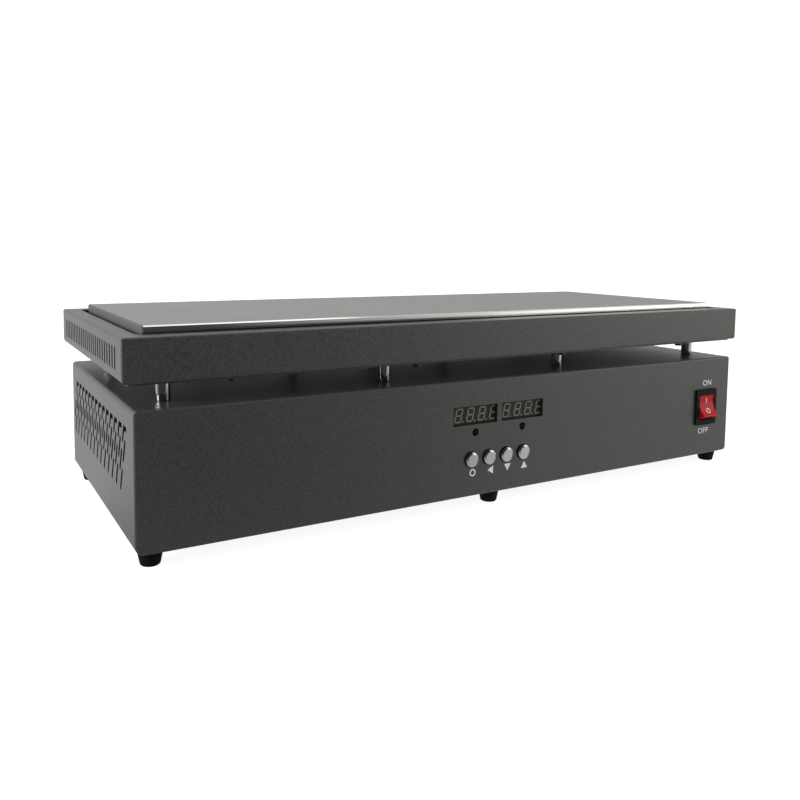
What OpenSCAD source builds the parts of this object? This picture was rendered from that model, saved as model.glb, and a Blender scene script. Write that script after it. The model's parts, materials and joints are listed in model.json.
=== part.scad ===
// Bench preheating plate: an aluminium hot plate in a folded tray, carried on
// round pillars above a folded case with displays, buttons and a power switch.
// Millimetres. Floor at z = 0, front towards -Y, right towards +X.

/* [Hot plate] */
// Length of the hot plate, left to right
plate_l = 500; // [470:1:560]
// Width of the hot plate, front to back
plate_w = 180; // [170:1:220]
// Thickness of the hot plate
plate_t = 20; // [18:1:24]
// Height of the working face above the tray rim
plate_rise = 4.6; // [2:0.1:8]
// Chamfer along the top and corner edges of the plate
plate_chamfer = 0.8; // [0.4:0.1:1.2]
// Number of cartridge heaters in the plate
heater_n = 6; // [4, 6]
// Diameter of a cartridge heater
heater_d = 10; // [8:0.5:11]
// Metal left in front of the blind heater holes
heater_wall = 14; // [8:1:30]
// Diameter of the temperature probe
probe_d = 4.8; // [3:0.1:6]
// Depth of the temperature probe in the plate
probe_l = 70; // [40:1:120]

/* [Tray] */
// Open gap round the hot plate
plate_gap = 5; // [3:0.5:8]
// Width of the tray rim at the two ends
rim_x = 11; // [8:0.5:16]
// Width of the tray rim at front and back
rim_y = 13; // [11:0.5:18]
// Height of the tray
tray_h = 26.9; // [24:0.1:34]
// Outside radius of the folded tray edges
tray_r = 1.6; // [1.5:0.1:4]
// Corner radius of the tray outline seen from the front
tray_corner_r = 2; // [1.5:0.1:5]
// Lower corner radius of the tray outline seen from the front
tray_low_r = 4; // [2:0.5:5]
// Width of the flange turned in under the tray
tray_flange = 10; // [10:0.5:12]
// Spacing of the upright slots in the tray ends
tray_vent_pitch = 7.55; // [6:0.05:10]
// Width of an upright slot
tray_vent_w = 3.2; // [2:0.1:4]
// Height of an upright slot
tray_vent_h = 14; // [8:0.5:16]
// Plain metal left beside the row of upright slots
tray_vent_margin = 13; // [12:1:30]
// Thickness of the insulation board
insulation_t = 6; // [3:0.5:8]

/* [Pillars] */
// Clear height between case and tray
stand_gap = 15.4; // [12:0.1:30]
// Diameter of a pillar
pillar_d = 9; // [8:0.1:12]
// Distance of the outer pillars from the case ends
pillar_inset_x = 23.8; // [20:0.1:40]
// Distance of the inner pillars from the middle
pillar_inner_x = 80.5; // [60:0.5:110]
// Distance of the pillars from the case front and back
pillar_inset_y = 27.2; // [26:0.1:36]

/* [Case] */
// Overhang of the tray past each case end
overhang_x = 6.2; // [0:0.1:10]
// Overhang of the tray past the case front and back
overhang_y = 0.3; // [0:0.1:6]
// Height of the case cover
case_h = 84.5; // [82:0.5:110]
// Outside radius of the folded case edges
case_r = 1.6; // [1.5:0.1:4]
// Corner radius of the case outline seen from the front
case_corner_r = 3; // [1.5:0.1:5]
// Lower corner radius of the case outline seen from the front
case_low_r = 6; // [2:0.5:7]
// Thickness of the cover sheets
sheet_t = 1; // [0.8:0.1:1.4]
// Width of the flange turned in under the case
case_flange = 22; // [22:1:28]
// Thickness of the flat plates under case and tray
base_t = 1.2; // [0.8:0.1:2]
// Inset of the flat plates from the cover sides
base_inset = 4; // [3.5:0.5:6]

/* [Case vents] */
// Spacing of the leaning slots along a row
vent_pitch = 12.9; // [11:0.1:16]
// Width of a leaning slot
vent_slot_w = 3.4; // [2:0.1:4]
// Height of a leaning slot
vent_slot_h = 14.4; // [10:0.1:16]
// Plain metal between two slots of one column
vent_gap_z = 4.8; // [4:0.1:8]
// Height of the lowest slots above the case bottom
vent_bottom = 29.7; // [24:0.1:31]
// Step from the lowest row to the row beside it
vent_stagger = 12.1; // [9:0.1:12.5]
// Lean of the slots towards the front
vent_slant = 24; // [0:1:26]
// Width of the open head of a top row slot
vent_head_w = 8.6; // [5:0.1:10.5]
// Height of the open head of a top row slot
vent_head_h = 3.3; // [2:0.1:5]
// Height of a top row slot, head included
vent_top_h = 10.8; // [9:0.1:12]
// Distance of the lowest front slot from the case front
vent_front = 37.5; // [36:0.5:60]
// Distance kept free behind the rows
vent_back = 9; // [9:1:40]

/* [Feet] */
// Height of a rubber foot
foot_h = 8.7; // [8:0.1:20]
// Diameter of a foot at the top
foot_top_d = 15.4; // [14:0.1:20]
// Diameter of a foot at the floor
foot_bottom_d = 12.4; // [11:0.1:14]
// Rounding of the lower foot edge
foot_round = 1.5; // [0.5:0.1:1.6]
// Distance of the feet from the case ends
foot_inset_x = 11.3; // [10:0.1:17]
// Distance of the feet from the case front and back
foot_inset_y = 12; // [10:0.5:17]
// Offset of the middle feet from the case middle
foot_mid_x = 2.5; // [-10:0.5:10]

/* [Displays and lamps] */
// Offset of the control group from the case middle
control_x = 1.9; // [-40:0.1:40]
// Width of a display window
display_w = 39.2; // [30:0.1:40]
// Height of a display window
display_h = 13.6; // [11:0.1:15]
// Distance between the two display middles
display_pitch = 43.2; // [42.5:0.1:50]
// Height of the displays above the case bottom
display_z = 59.1; // [58:0.1:62]
// Border of a display module hidden behind the sheet
display_border = 1; // [0.5:0.1:1.2]
// Diameter of an indicator lamp
led_d = 5; // [3:0.5:5]
// Height of the lamps above the case bottom
led_z = 46.6; // [44:0.1:47.5]
// Distance from the front sheet to the control board
board_gap = 8; // [7.5:0.1:12]

/* [Buttons] */
// Diameter of a button cap
button_d = 10.6; // [8:0.1:11]
// Distance between two buttons
button_pitch = 15.9; // [15:0.1:20]
// Offset of the button row from the middle of the displays
button_shift = -1.2; // [-6:0.1:6]
// Height of the buttons above the case bottom
button_z = 27.2; // [23:0.1:28]
// Height of a button cap in front of the sheet
button_proud = 2.3; // [2:0.1:6]
// Width of the bevel round the face of a button cap
button_bevel = 1.4; // [0.5:0.1:2]
// Gap round a button cap in the front sheet
button_gap = 0.6; // [0.3:0.05:0.7]
// Stroke of a button
button_travel = 0.5; // [0.2:0.1:0.8]

/* [Power switch] */
// Distance of the switch from the right case end
switch_inset = 31.1; // [25:0.1:60]
// Height of the switch above the case bottom
switch_z = 42.1; // [30:0.1:50]
// Width of the switch bezel
bezel_w = 25.5; // [25:0.5:30]
// Height of the switch bezel
bezel_h = 31; // [31:0.5:36]
// Thickness of the switch bezel
bezel_t = 2; // [1.5:0.1:2.5]
// Width of the rocker
rocker_w = 17.2; // [14:0.1:18.5]
// Sweep radius of the rocker ends
rocker_r = 10.8; // [10:0.1:11.2]
// Tilt of the rocker to either side
rocker_tilt = 16; // [10:1:18]

/* [Mains inlet] */
// Distance of the inlet from the right case end
inlet_inset = 80; // [60:1:110]
// Height of the inlet above the case bottom
inlet_z = 38; // [30:1:50]

/* [Clearances] */
// Gap round a moving piece
run_clear = 0.3; // [0.2:0.05:0.5]
// Gap round a fixed piece in its cut-out
fit_clear = 0.15; // [0.1:0.05:0.25]
// Gap round a rocker pin in its hole
pin_clear = 0.06; // [0.03:0.01:0.1]

/* [Hidden] */
$fn = 48;

// Overall sizes that follow from the plate
tray_w = plate_l + 2 * (plate_gap + rim_x);
tray_d = plate_w + 2 * (plate_gap + rim_y);
case_w = tray_w - 2 * overhang_x;
case_d = tray_d - 2 * overhang_y;

// Levels from the floor up
case_z0 = foot_h + base_t;
case_z1 = case_z0 + case_h;
tray_z0 = case_z1 + stand_gap;
tray_z1 = tray_z0 + tray_h;
plate_z1 = tray_z1 + plate_rise;
plate_z0 = plate_z1 - plate_t;
plate_mid_z = plate_z0 + plate_t / 2;

// Planes of the case front, back and board
front_y = -case_d / 2;
front_in = front_y + sheet_t;
back_y = case_d / 2;
board_t = 1.6;
board_y = front_in + board_gap;
cut = 1;

// Screws: thread diameter, head diameter, head height
m3 = [3, 5.6, 2];
m4 = [4, 8, 2.6];
m5 = [5, 9.4, 3];
thread_grip = 6;
nut_m4 = [7.6, 3.2];
nut_m3 = [6.2, 2.4];

// Places of pillars, feet, spacers and heaters
pillar_outer_x = case_w / 2 - pillar_inset_x;
pillar_x = [-pillar_outer_x, -pillar_inner_x, pillar_inner_x, pillar_outer_x];
pillar_y = case_d / 2 - pillar_inset_y;
foot_end_x = case_w / 2 - foot_inset_x;
foot_x = [-foot_end_x, foot_mid_x, foot_end_x];
foot_y = case_d / 2 - foot_inset_y;
foot_seat = 5.5;
heater_pitch = plate_l / heater_n;
heater_x = [for (i = [0:heater_n - 1]) (i - (heater_n - 1) / 2) * heater_pitch];
heater_tail = 3;
thermostat_x = heater_pitch;
thermostat_d = 18;
loom_d = 4.4;
tail_d = 2.4;
loom_y = plate_w / 2 + heater_tail + loom_d / 2 + run_clear;
probe_x = heater_pitch / 4;
loom_x = probe_x / 2;
spacer_d = 12;
insulation_inset = 7;
insulation_r = 3;
insulation_ease = 1;
spacer_x = [for (i = [-1:1]) i * (heater_n / 2 - 1) * heater_pitch];
spacer_y = plate_w / 3;
tray_screw_x = [for (i = [0:3]) (i - 1.5) * tray_w / 4];
tray_screw_y = tray_d / 2 - base_inset - 3;
conduit_bore = loom_d + 1.6;
conduit_d = conduit_bore + 3;
pillar_thread = (stand_gap - base_t) / 2 - 0.5;

// Rows of case vents
vent_cols = floor((case_d - vent_front - vent_back) / vent_pitch) + 1;
vent_row = vent_slot_h + vent_gap_z;
tray_vent_n = floor((tray_d - 2 * tray_vent_margin) / tray_vent_pitch);

// Control panel
display_body_w = display_w + 2 * display_border;
display_body_h = display_h + 2 * display_border;
display_back = 2;
led_collar = 0.4;
board_spacer_d = 6;
board_margin = 5;
display_x = [control_x - display_pitch / 2, control_x + display_pitch / 2];
tact_w = 12;
tact_h = 4.3;
tact_y = board_y - tact_h;
plunger_d = 3.4;
plunger_in = 2;
cap_rest = button_travel + 0.4;
button_x = [for (i = [0:3]) control_x + button_shift + (i - 1.5) * button_pitch];
board_w = 2 * display_pitch + 24;
board_low = 12;
board_high = 72;
board_h = board_high - board_low;
board_hole_x = board_w / 2 - board_margin;
board_hole_z = board_h / 2 - board_margin;
board_mid_z = case_z0 + (board_low + board_high) / 2;

// Power switch
switch_x = case_w / 2 - switch_inset;
bezel_r = 1.5;
switch_body_w = 22;
switch_body_h = 28.2;
switch_body_l = 26;
rocker_dip = 4;
rocker_slope = tan(rocker_tilt);
rocker_lean = 1 + pow(rocker_slope, 2);
rocker_reach = sqrt(pow(rocker_r, 2) * rocker_lean - pow(rocker_dip, 2));
rocker_half = (rocker_reach - rocker_dip * rocker_slope) / rocker_lean;
rocker_sag = rocker_half * rocker_slope;
rocker_hollow_r = (pow(rocker_half, 2) + pow(rocker_sag, 2)) / (2 * rocker_sag);
rocker_back = 3;
pivot_depth = 3.7;
pivot_y = front_y - bezel_t + pivot_depth;
pivot_z = case_z0 + switch_z;
pivot_d = 3;
pivot_pin_l = 1.2;
pocket_w = rocker_w + 2 * run_clear;
pocket_h = 2 * (rocker_r + run_clear);
pocket_back = rocker_back + rocker_r * sin(rocker_tilt) + run_clear;
tab_w = 6.3;
tab_t = 0.8;
tab_l = 12;
tab_x = 5;
tab_z = 7;
switch_back_y = front_y + switch_body_l;

// Mains inlet
inlet_x = case_w / 2 - inlet_inset;
inlet_mid_z = case_z0 + inlet_z;
inlet_flange = [50, 22.5, 3];
inlet_body = [27.2, 19.8, 20];
inlet_mouth = [24.4, 16.8, 15];
inlet_screw_pitch = 40;
pin_size = [2, 4];
pin_places = [[-7, -2], [0, 2], [7, -2]];
pin_short = 4;
pin_tail = 8;

// Power electronics on the base plate
floor_z = case_z0;
pcb_size = [140, 96];
pcb_margin = 9;
pcb_flange_gap = 4;
pcb_y = back_y - case_flange - pcb_flange_gap - pcb_size[1] / 2 + pcb_margin;
pcb_lift = 8;
pcb_z = floor_z + pcb_lift;
pcb_top = pcb_z + board_t;
pcb_hole_x = pcb_size[0] / 2 - pcb_margin;
pcb_hole_y = pcb_size[1] / 2 - pcb_margin;
block_size = [60, 14, 16];
block_y = pcb_y + pcb_size[1] / 2 - block_size[1] / 2 - 3;
core_size = [46, 30, 38];
core_x = -38;
core_y = pcb_y - 14;
core_leg = 8;
coil_side = 5;
fuse_d = 6.3;
fuse_l = 32;
fuse_x = 44;
fuse_y = pcb_y - 20;
fuse_lift = 3;
sink_size = [84, 64, 30];
aisle_w = 19.8;
sink_x = pcb_size[0] / 2 + aisle_w + sink_size[0] / 2;
sink_y = 10;
sink_base = 5;
fin_n = 12;
fin_t = 2;
relay_size = [58, 45, 23];
relay_notch = [20, 37, 26];
stud_x = sink_x + sink_size[0] / 2 + 22;
block_top = pcb_top + block_size[2];
lead_d = 3;
lead_arch = 18;
lead_bend = 20;
lead_apart = 5;
lead_lift = 8;

// Outline with round corners, centred
module round_rect(w, h, r) {
  square([w - 2 * r, h], center = true);
  square([w, h - 2 * r], center = true);
  for (x = [-1, 1], y = [-1, 1])
    translate([x * (w / 2 - r), y * (h / 2 - r)]) circle(r);
}

// Front outline standing on zero, with its own radius at the lower corners
module front_outline(w, h, r, low_r) {
  translate([-w / 2, low_r]) square([w, h - low_r - r]);
  translate([r - w / 2, h - 2 * r]) square([w - 2 * r, 2 * r]);
  translate([low_r - w / 2, 0]) square([w - 2 * low_r, 2 * low_r]);
  for (s = [-1, 1]) {
    translate([s * (w / 2 - r), h - r]) circle(r);
    translate([s * (w / 2 - low_r), low_r]) circle(low_r);
  }
}

// Block with every edge rounded, standing on z = 0; corner_r and low_r round its front outline
module soft_box(w, d, h, r, corner_r, low_r) {
  intersection() {
    linear_extrude(h) round_rect(w, d, r);
    translate([0, d / 2, 0]) rotate([90, 0, 0]) linear_extrude(d) front_outline(w, h, corner_r, low_r);
    translate([-w / 2, 0, h / 2]) rotate([90, 0, 90]) linear_extrude(w) round_rect(d, h, r);
  }
}

// Folded five sided cover with a flange turned in round its open bottom
module folded_cover(w, d, h, r, corner_r, low_r, flange) {
  t = sheet_t;
  difference() {
    soft_box(w, d, h, r, corner_r, low_r);
    translate([0, 0, t])
      soft_box(w - 2 * t, d - 2 * t, h - 2 * t, r - t, corner_r - t, low_r - t);
    translate([flange - w / 2, flange - d / 2, -cut])
      cube([w - 2 * flange, d - 2 * flange, t + 2 * cut]);
  }
}

// Turns a shape drawn in x and z to face the front, with its back at y
module facing_front(y) {
  translate([0, y, 0]) rotate([90, 0, 0]) children();
}

// Turns a shape drawn in y and z to run across the object from end to end
module through_ends(w) {
  translate([-w / 2, 0, 0]) rotate([90, 0, 90]) linear_extrude(w) children();
}

// Upright slot with round ends
module slot(w, h) {
  square([w, h - w], center = true);
  for (s = [-1, 1]) translate([0, s * (h - w) / 2]) circle(d = w);
}

// Screw with its head below z = 0 and its thread upwards
module screw(m, l) {
  difference() {
    union() {
      translate([0, 0, -m[2]]) cylinder(d = m[1], h = m[2]);
      cylinder(d = m[0], h = l);
    }
    translate([0, 0, -m[2] - cut]) cylinder(d = m[0] * 0.8, h = cut + m[2] * 0.6, $fn = 6);
  }
}

// Clearance hole for a screw through thickness t above z = 0
module screw_hole(m, t) {
  translate([0, 0, -cut]) cylinder(d = m[0] + 2 * fit_clear, h = t + 2 * cut);
}

// Lead in straight eight sided stretches that overlap at each bend
module lead(points, d) {
  last = len(points) - 2;
  for (i = [0:last]) {
    step = points[i + 1] - points[i];
    run = norm(step);
    before = i == 0 ? 0 : d / 3;
    after = i == last ? 0 : d / 3;
    translate(points[i]) rotate([0, acos(step[2] / run), atan2(step[1], step[0])])
      translate([0, 0, -before]) cylinder(d = d, h = before + run + after, $fn = 8);
  }
}

module at_pillars() {
  for (x = pillar_x, s = [-1, 1]) translate([x, s * pillar_y, 0]) children();
}

module at_feet() {
  for (x = foot_x, s = [-1, 1]) translate([x, s * foot_y, 0]) children();
}

module at_spacers() {
  for (x = spacer_x, s = [-1, 1]) translate([x, s * spacer_y, 0]) children();
}

module at_tray_screws() {
  for (x = tray_screw_x, s = [-1, 1]) translate([x, s * tray_screw_y, 0]) children();
}

module at_board_holes() {
  for (x = [-1, 1], z = [-1, 1])
    translate([control_x + x * board_hole_x, board_mid_z + z * board_hole_z, 0]) children();
}

module at_pcb_holes() {
  for (x = [-1, 1], y = [-1, 1]) translate([x * pcb_hole_x, pcb_y + y * pcb_hole_y, 0]) children();
}

// Middle of a leaning slot whose column starts at y and whose low end is z above the case bottom
function slot_middle(y, z, h) = [y - (z + h / 2 - vent_bottom) * tan(vent_slant), case_z0 + z + h / 2];
function vent_y(col, half) = front_y + vent_front + (col + half / 2) * vent_pitch;

// Leaning slot of height h
module lean_slot(y, z, h) {
  translate(slot_middle(y, z, h)) rotate(vent_slant) slot(vent_slot_w, h / cos(vent_slant));
}

// Four staggered rows of leaning slots, the top row with open heads
module case_vents() {
  high = vent_bottom + vent_stagger;
  for (c = [0:vent_cols - 1]) {
    for (r = [0, 1]) lean_slot(vent_y(c, 0), vent_bottom + r * vent_row, vent_slot_h);
    lean_slot(vent_y(c, 1), high, vent_slot_h);
    top = high + vent_row;
    head_y = slot_middle(vent_y(c, 1), top + vent_top_h - vent_head_h, vent_head_h);
    lean_slot(vent_y(c, 1), top, vent_top_h);
    translate([head_y[0] + vent_slot_w / 2 - vent_head_w / 2, head_y[1]])
      square([vent_head_w, vent_head_h], center = true);
  }
}

// Openings in the front sheet, drawn in x and z
module control_openings() {
  for (x = display_x) {
    translate([x, case_z0 + display_z]) square([display_w, display_h], center = true);
    translate([x, case_z0 + led_z]) circle(d = led_d + 2 * run_clear);
  }
  for (x = button_x) translate([x, case_z0 + button_z]) circle(d = button_d + 2 * button_gap);
  translate([switch_x, case_z0 + switch_z])
    square([switch_body_w + 2 * fit_clear, switch_body_h + 2 * fit_clear], center = true);
}

// Openings in the back sheet, drawn in x and z
module inlet_openings() {
  translate([inlet_x, inlet_mid_z]) {
    square([inlet_body[0] + 2 * fit_clear, inlet_body[1] + 2 * fit_clear], center = true);
    for (s = [-1, 1]) translate([s * inlet_screw_pitch / 2, 0]) circle(d = m3[0] + 2 * fit_clear);
  }
}

module case_cover() {
  color("dimgray") difference() {
    translate([0, 0, case_z0])
      folded_cover(case_w, case_d, case_h, case_r, case_corner_r, case_low_r, case_flange);
    facing_front(front_in + cut) linear_extrude(sheet_t + 2 * cut) control_openings();
    facing_front(front_in + cut) linear_extrude(sheet_t / 2 + cut)
      at_board_holes() circle(d = m3[0] + 2 * fit_clear);
    facing_front(back_y + cut) linear_extrude(sheet_t + 2 * cut) inlet_openings();
    through_ends(case_w + 2 * cut) case_vents();
    translate([0, 0, case_z1 - sheet_t]) {
      at_pillars() screw_hole(m4, sheet_t);
      translate([loom_x, loom_y, -cut]) cylinder(d = conduit_bore, h = sheet_t + 2 * cut);
    }
    translate([0, 0, case_z0]) at_feet() screw_hole(m3, sheet_t);
  }
}

module base_plate() {
  color("gray") translate([0, 0, foot_h]) difference() {
    linear_extrude(base_t) round_rect(case_w - 2 * base_inset, case_d - 2 * base_inset, case_r);
    at_feet() screw_hole(m3, base_t);
    at_pcb_holes() screw_hole(m3, base_t);
    translate([stud_x, sink_y, 0]) screw_hole(m4, base_t);
  }
}

module rubber_feet() {
  head_z = foot_h - foot_seat;
  color("black") at_feet() difference() {
    rotate_extrude() {
      polygon([
        [0, 0], [foot_bottom_d / 2 - foot_round, 0], [foot_bottom_d / 2, foot_round],
        [foot_top_d / 2, foot_h], [0, foot_h]
      ]);
      translate([foot_bottom_d / 2 - foot_round, foot_round]) circle(foot_round);
    }
    translate([0, 0, -cut]) cylinder(d = m3[1] + 4 * fit_clear, h = head_z + cut);
    translate([0, 0, head_z - cut]) cylinder(d = m3[0] + 2 * fit_clear, h = foot_h - head_z + 2 * cut);
  }
}

module foot_screws() {
  color("silver") at_feet() translate([0, 0, foot_h - foot_seat])
    screw(m3, foot_seat + base_t + sheet_t + nut_m3[1] + 1);
}

module foot_nuts() {
  color("silver") at_feet() translate([0, 0, case_z0 + sheet_t]) difference() {
    cylinder(d = nut_m3[0], h = nut_m3[1], $fn = 6);
    screw_hole(m3, nut_m3[1]);
  }
}

module tray_cover() {
  color("dimgray") difference() {
    translate([0, 0, tray_z0])
      folded_cover(tray_w, tray_d, tray_h, tray_r, tray_corner_r, tray_low_r, tray_flange);
    translate([0, 0, tray_z1 - sheet_t - cut]) linear_extrude(sheet_t + 2 * cut)
      round_rect(plate_l + 2 * plate_gap, plate_w + 2 * plate_gap, plate_gap);
    through_ends(tray_w + 2 * cut)
      for (i = [0:tray_vent_n - 1])
        translate([(i - (tray_vent_n - 1) / 2) * tray_vent_pitch, tray_z0 + tray_h / 2])
          slot(tray_vent_w, tray_vent_h);
    translate([0, 0, tray_z0]) {
      at_tray_screws() screw_hole(m3, sheet_t);
      translate([loom_x, loom_y, -cut]) cylinder(d = conduit_bore, h = sheet_t + 2 * cut);
    }
  }
}

module tray_base() {
  color("gray") translate([0, 0, tray_z0 - base_t]) difference() {
    linear_extrude(base_t) round_rect(tray_w - 2 * base_inset, tray_d - 2 * base_inset, tray_r);
    at_pillars() screw_hole(m4, base_t);
    at_spacers() screw_hole(m5, base_t);
    at_tray_screws() screw_hole(m3, base_t);
    translate([loom_x, loom_y, -cut]) cylinder(d = conduit_bore, h = base_t + 2 * cut);
  }
}

module tray_screws() {
  color("black") translate([0, 0, tray_z0 - base_t]) at_tray_screws() screw(m3, base_t + sheet_t + 3);
}

module hot_plate() {
  color("darkgray") difference() {
    plate_body();
    for (x = heater_x) translate([x, plate_w / 2 + cut, plate_mid_z]) rotate([90, 0, 0])
      cylinder(d = heater_d + 2 * fit_clear, h = plate_w - heater_wall + cut);
    translate([probe_x, plate_w / 2 + cut, plate_mid_z]) rotate([90, 0, 0])
      cylinder(d = probe_d + 2 * fit_clear, h = probe_l + cut);
    translate([0, 0, plate_z0 - cut]) at_spacers()
      cylinder(d = m5[0] + 2 * fit_clear, h = thread_grip + 2 + cut);
  }
}

// Flat plate with its top edges and its upright corner edges chamfered
module plate_body() {
  c = plate_chamfer;
  translate([0, 0, plate_z0]) intersection() {
    linear_extrude(plate_t) polygon([for (q = [[1, 1], [-1, 1], [-1, -1], [1, -1]], k = [0, 1])
      let (near_x = (k == 0) == (q[0] * q[1] > 0) ? 0 : c)
      [q[0] * (plate_l / 2 - near_x), q[1] * (plate_w / 2 - c + near_x)]]);
    translate([0, plate_w / 2, 0]) rotate([90, 0, 0]) linear_extrude(plate_w) chamfered_side(plate_l);
    translate([-plate_l / 2, 0, 0]) rotate([90, 0, 90]) linear_extrude(plate_l) chamfered_side(plate_w);
  }
}

module chamfered_side(w) {
  c = plate_chamfer;
  polygon([
    [-w / 2, 0], [w / 2, 0], [w / 2, plate_t - c],
    [w / 2 - c, plate_t], [c - w / 2, plate_t], [-w / 2, plate_t - c]
  ]);
}

module plate_spacers() {
  h = plate_z0 - tray_z0;
  color("lightgray") translate([0, 0, tray_z0]) at_spacers() difference() {
    cylinder(d = spacer_d, h = h);
    screw_hole(m5, h);
  }
}

module plate_screws() {
  color("black") translate([0, 0, tray_z0 - base_t]) at_spacers()
    screw(m5, base_t + plate_z0 - tray_z0 + thread_grip);
}

module insulation_board() {
  color("ivory") translate([0, 0, tray_z0]) difference() {
    linear_extrude(insulation_t)
      round_rect(plate_l - 2 * insulation_inset, plate_w - 2 * insulation_inset, insulation_r);
    translate([0, 0, -cut]) {
      at_spacers() cylinder(d = spacer_d + 2 * insulation_ease, h = insulation_t + 2 * cut);
      at_pillars() cylinder(d = m4[1] + 2 * insulation_ease, h = insulation_t + 2 * cut);
      translate([thermostat_x, 0, 0])
        cylinder(d = thermostat_d + 2 * insulation_ease, h = insulation_t + 2 * cut);
    }
  }
}

module support_pillars() {
  h = stand_gap - base_t;
  bevel = 0.5;
  color("silver") translate([0, 0, case_z1]) at_pillars() difference() {
    rotate_extrude() polygon([
      [0, 0], [pillar_d / 2 - bevel, 0], [pillar_d / 2, bevel],
      [pillar_d / 2, h - bevel], [pillar_d / 2 - bevel, h], [0, h]
    ]);
    translate([0, 0, -cut]) cylinder(d = m4[0] + 2 * fit_clear, h = h + 2 * cut);
  }
}

module pillar_screws_upper() {
  color("silver") translate([0, 0, tray_z0]) at_pillars()
    mirror([0, 0, 1]) screw(m4, base_t + pillar_thread);
}

module pillar_screws_lower() {
  color("silver") translate([0, 0, case_z1 - sheet_t]) at_pillars() screw(m4, sheet_t + pillar_thread);
}

// Sheathed heater with a ceramic head behind the plate
module cartridge_heaters() {
  color("lightgray") for (x = heater_x) translate([x, plate_w / 2, plate_mid_z]) rotate([90, 0, 0]) {
    translate([0, 0, -heater_tail]) cylinder(d = heater_d, h = plate_w - heater_wall + heater_tail - 1);
  }
}

module temperature_probe() {
  color("silver") translate([probe_x, plate_w / 2, plate_mid_z]) rotate([90, 0, 0]) {
    cylinder(d = probe_d, h = probe_l - 1);
    translate([0, 0, -heater_tail]) cylinder(d = probe_d + 2, h = heater_tail, $fn = 6);
  }
}

// Disc thermostat held under the plate
module overheat_thermostat() {
  room = plate_z0 - tray_z0;
  color("wheat") translate([thermostat_x, 0, plate_z0]) mirror([0, 0, 1]) {
    cylinder(d = thermostat_d, h = room / 5);
    cylinder(d = thermostat_d - 4, h = room * 0.6);
    for (s = [-1, 1]) translate([s * 4 - tab_t / 2, -1.6, 0]) cube([tab_t, 3.2, room * 0.75]);
  }
}

module wire_conduit() {
  h = stand_gap - base_t;
  color("silver") translate([loom_x, loom_y, case_z1]) difference() {
    cylinder(d = conduit_d, h = h);
    translate([0, 0, -cut]) cylinder(d = conduit_bore, h = h + 2 * cut);
  }
}

// Sleeved heater wiring behind the plate and down into the case
module heater_loom() {
  end_x = heater_x[heater_n - 1] + loom_d;
  color("white") {
    lead([[-end_x, loom_y, plate_mid_z], [end_x, loom_y, plate_mid_z]], loom_d);
    for (x = heater_x)
      lead([[x, plate_w / 2 + heater_tail, plate_mid_z], [x, loom_y, plate_mid_z]], tail_d);
    lead([
      [loom_x, loom_y, plate_mid_z], [loom_x, loom_y, block_top + 2 * lead_arch],
      [0, block_y, block_top + lead_arch], [0, block_y, block_top]
    ], loom_d);
  }
}

module control_board() {
  color("darkgreen") facing_front(board_y + board_t) linear_extrude(board_t) difference() {
    translate([control_x, board_mid_z]) square([board_w, board_h], center = true);
    at_board_holes() circle(d = m3[0] + 2 * fit_clear);
  }
}

module board_spacers() {
  color("silver") facing_front(board_y) linear_extrude(board_gap) at_board_holes() difference() {
    circle(d = board_spacer_d);
    circle(d = m3[0] + 2 * fit_clear);
  }
}

// Screws from behind the board into the blind seats of the front sheet
module board_screws() {
  color("silver") facing_front(board_y + board_t) at_board_holes() screw(m3, board_t + board_gap);
}

// Display module: a face block with a raised rim behind the window edge
module display_module(x) {
  facing_front(board_y) translate([x, case_z0 + display_z, 0]) difference() {
    linear_extrude(board_gap - fit_clear) square([display_body_w, display_body_h], center = true);
    translate([0, 0, board_gap - display_back]) linear_extrude(display_back)
      square([display_w, display_h], center = true);
  }
}

module actual_display() {
  color("darkslategray") display_module(display_x[0]);
}

module set_display() {
  color("darkslategray") display_module(display_x[1]);
}

// Round lamp with a collar and a domed tip
module lamp(x) {
  l = board_gap + sheet_t - led_d / 2;
  facing_front(board_y) translate([x, case_z0 + led_z, 0]) {
    cylinder(d = led_d, h = l);
    translate([0, 0, l]) sphere(d = led_d);
    cylinder(d = led_d + 2 * led_collar, h = board_gap - 2 * led_collar);
  }
}

module heating_lamp() {
  color("darkgreen") lamp(display_x[0]);
}

module overheat_lamp() {
  color("darkred") lamp(display_x[1]);
}

module tact_switches() {
  color("black") facing_front(board_y) for (x = button_x)
    translate([x, case_z0 + button_z, 0]) difference() {
      linear_extrude(tact_h) square(tact_w, center = true);
      translate([0, 0, tact_h - plunger_in - button_travel - run_clear])
        cylinder(d = plunger_d + 2 * run_clear, h = tact_h);
    }
}

// Bevelled button cap with the stem that works its switch
module button(x) {
  cap_back = tact_y - cap_rest;
  cap_l = cap_back - front_y + button_proud;
  r = button_d / 2;
  translate([x, cap_back, case_z0 + button_z]) rotate([90, 0, 0]) {
    rotate_extrude() polygon([
      [0, 0], [r, 0], [r, cap_l - button_bevel / 2], [r - button_bevel, cap_l], [0, cap_l]
    ]);
    translate([0, 0, -cap_rest - plunger_in]) cylinder(d = plunger_d, h = cap_rest + plunger_in);
  }
}

module set_button() {
  color("silver") button(button_x[0]);
}

module left_button() {
  color("silver") button(button_x[1]);
}

module down_button() {
  color("silver") button(button_x[2]);
}

module up_button() {
  color("silver") button(button_x[3]);
}

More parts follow.
